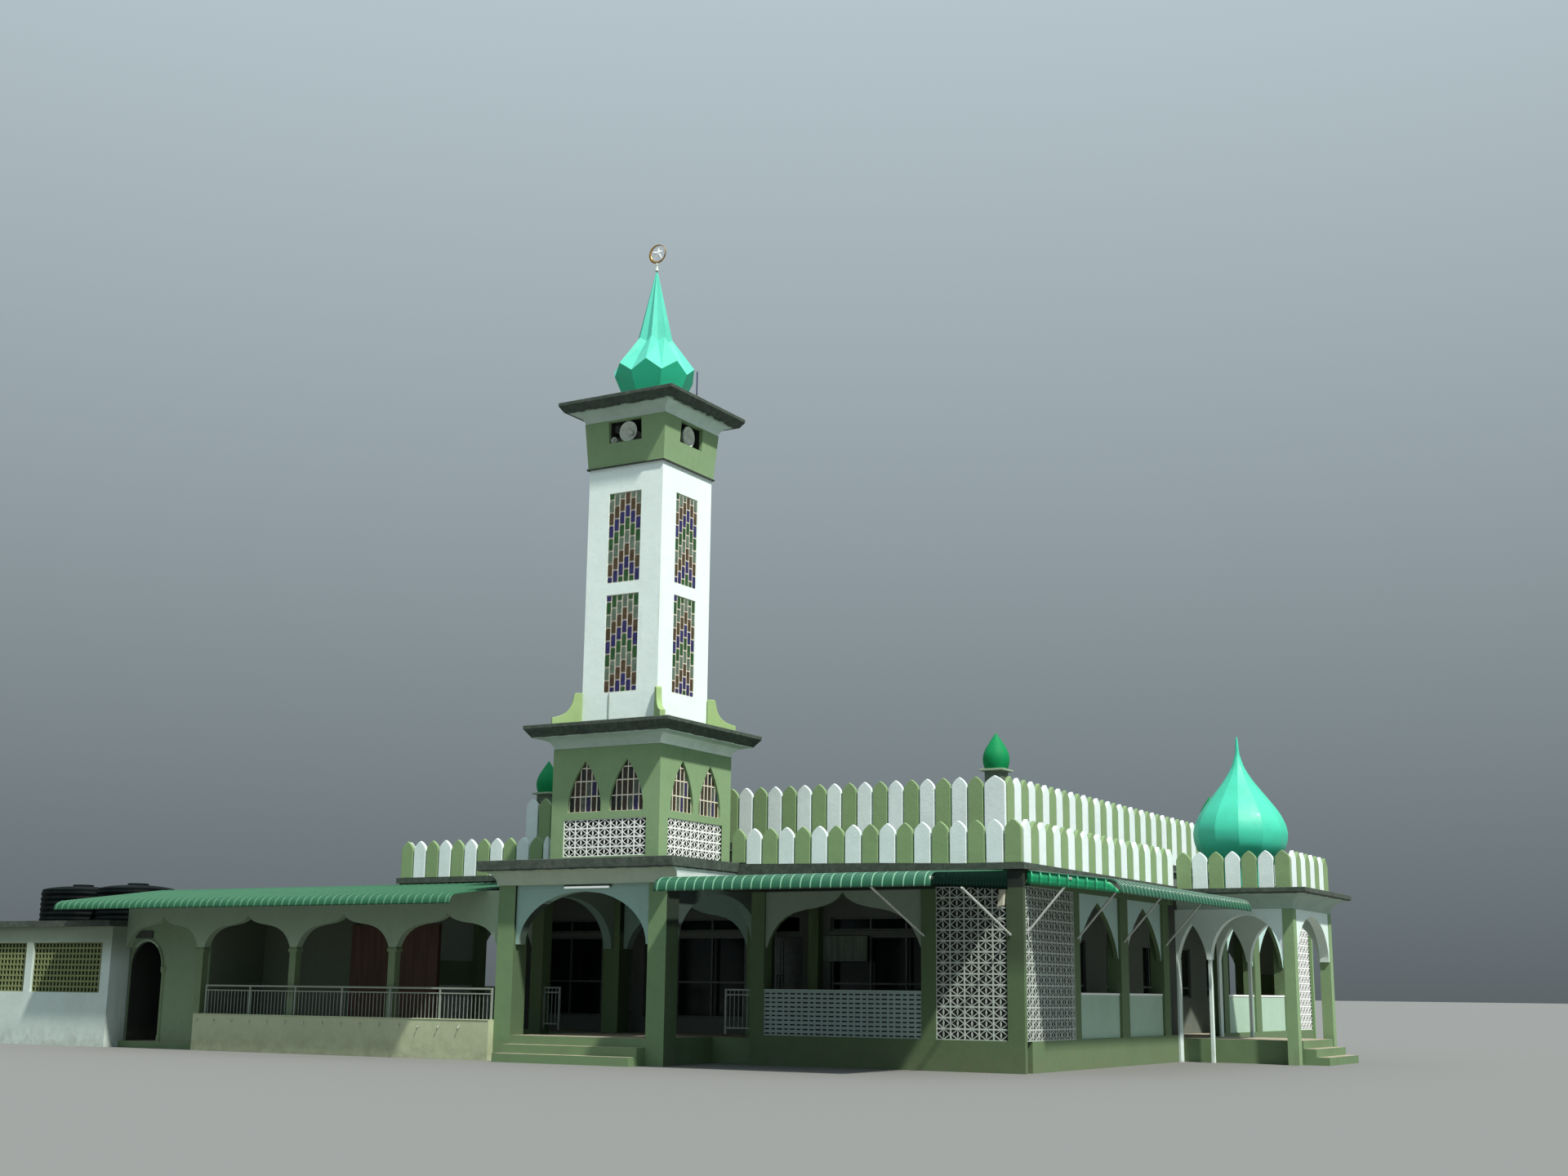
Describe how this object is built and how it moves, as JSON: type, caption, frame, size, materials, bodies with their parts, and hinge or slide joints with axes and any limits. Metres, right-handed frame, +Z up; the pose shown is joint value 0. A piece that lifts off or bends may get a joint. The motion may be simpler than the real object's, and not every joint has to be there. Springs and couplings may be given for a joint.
{
  "type": "mosque building",
  "caption": "Mosque with an arcaded verandah round a hall, a square minaret over its porch, merlon parapets, onion domes and a low washing wing.",
  "frame": {"origin": "centre of the footprint's bounding box, on the ground", "axes": "+Z up, the front faces -Y, the side with the domed porch faces +X"},
  "size_m": [33.08, 25.51, 19.235],
  "materials": {
    "coloured_glass": "coloured glass bricks",
    "emerald_paint": "glossy emerald green paint",
    "floor_tile": "fired floor tiles",
    "gold_metal": "polished gold",
    "grey_metal": "satin grey metal",
    "mint_paint": "satin mint green paint",
    "olive_paint": "matte olive green wall paint on plaster",
    "pale_paint": "matte pale grey-green wall paint on plaster",
    "roof_sheet": "glossy green coated corrugated sheet",
    "tank_plastic": "black plastic",
    "weathered_slab": "weathered dark concrete",
    "white_paint": "matte white wall paint on plaster",
    "window_glass": "clear dark glass"
  },
  "bodies": {
    "building": {"raised_floor": "floor_tile", "front_right_arcade": "olive_paint", "front_left_arcade": "olive_paint", "right_front_arcade": "olive_paint", "right_rear_arcade": "olive_paint", "left_arcade": "olive_paint", "rear_arcade": "olive_paint", "front_vent_panel": "white_paint", "right_vent_panel": "white_paint", "verandah_roof": "weathered_slab", "porch_arcade": "white_paint", "porch_roof": "pale_paint", "tower_base": "olive_paint", "tower_base_screens": "white_paint", "tower_mid_slab": "pale_paint", "minaret_shaft": "white_paint", "shaft_glass": "coloured_glass", "belfry": "olive_paint", "loudspeakers": "grey_metal", "belfry_roof": "pale_paint", "spire": "mint_paint", "crescent_finial": "gold_metal", "hall_front_wall_left": "white_paint", "hall_front_wall_right": "white_paint", "hall_door_lintel": "white_paint", "hall_right_wall": "white_paint", "hall_left_wall": "white_paint", "hall_rear_wall": "white_paint", "hall_glazing": "window_glass", "hall_roof": "weathered_slab", "lower_parapet_front_right": "olive_paint", "lower_parapet_front_left": "olive_paint", "lower_parapet_left": "olive_paint", "lower_parapet_rear": "olive_paint", "lower_parapet_right": "olive_paint", "upper_parapet_front": "white_paint", "upper_parapet_right": "white_paint", "upper_parapet_left": "white_paint", "upper_parapet_rear": "white_paint", "small_dome_front_right": "emerald_paint", "small_dome_front_left": "emerald_paint", "small_dome_rear_right": "emerald_paint", "small_dome_rear_left": "emerald_paint", "domed_porch_arcade": "white_paint", "domed_porch_roof": "pale_paint", "domed_porch_dome": "mint_paint", "front_canopy": "roof_sheet", "right_canopy": "roof_sheet", "wing_floor": "floor_tile", "wing_arcade": "white_paint", "wing_walls": "white_paint", "washing_counter": "pale_paint", "wing_roof": "roof_sheet", "toilet_block": "white_paint", "toilet_block_grille": "olive_paint", "toilet_block_roof": "weathered_slab", "water_tank_left": "tank_plastic", "water_tank_right": "tank_plastic"},
    "left_leaf": {"hall_door_left": "grey_metal"},
    "right_leaf": {"hall_door_right": "grey_metal"}
  },
  "joints": [
    {"name": "left_leaf_hinge", "type": "hinge", "parent": "building", "child": "left_leaf", "pos_m": [5.04, -6.07, 1.66], "axis": [0, 0, 1], "range_deg": [0, 90]},
    {"name": "right_leaf_hinge", "type": "hinge", "parent": "building", "child": "right_leaf", "pos_m": [6.32, -6.07, 1.66], "axis": [0, 0, 1], "range_deg": [-90, 0]}
  ]
}
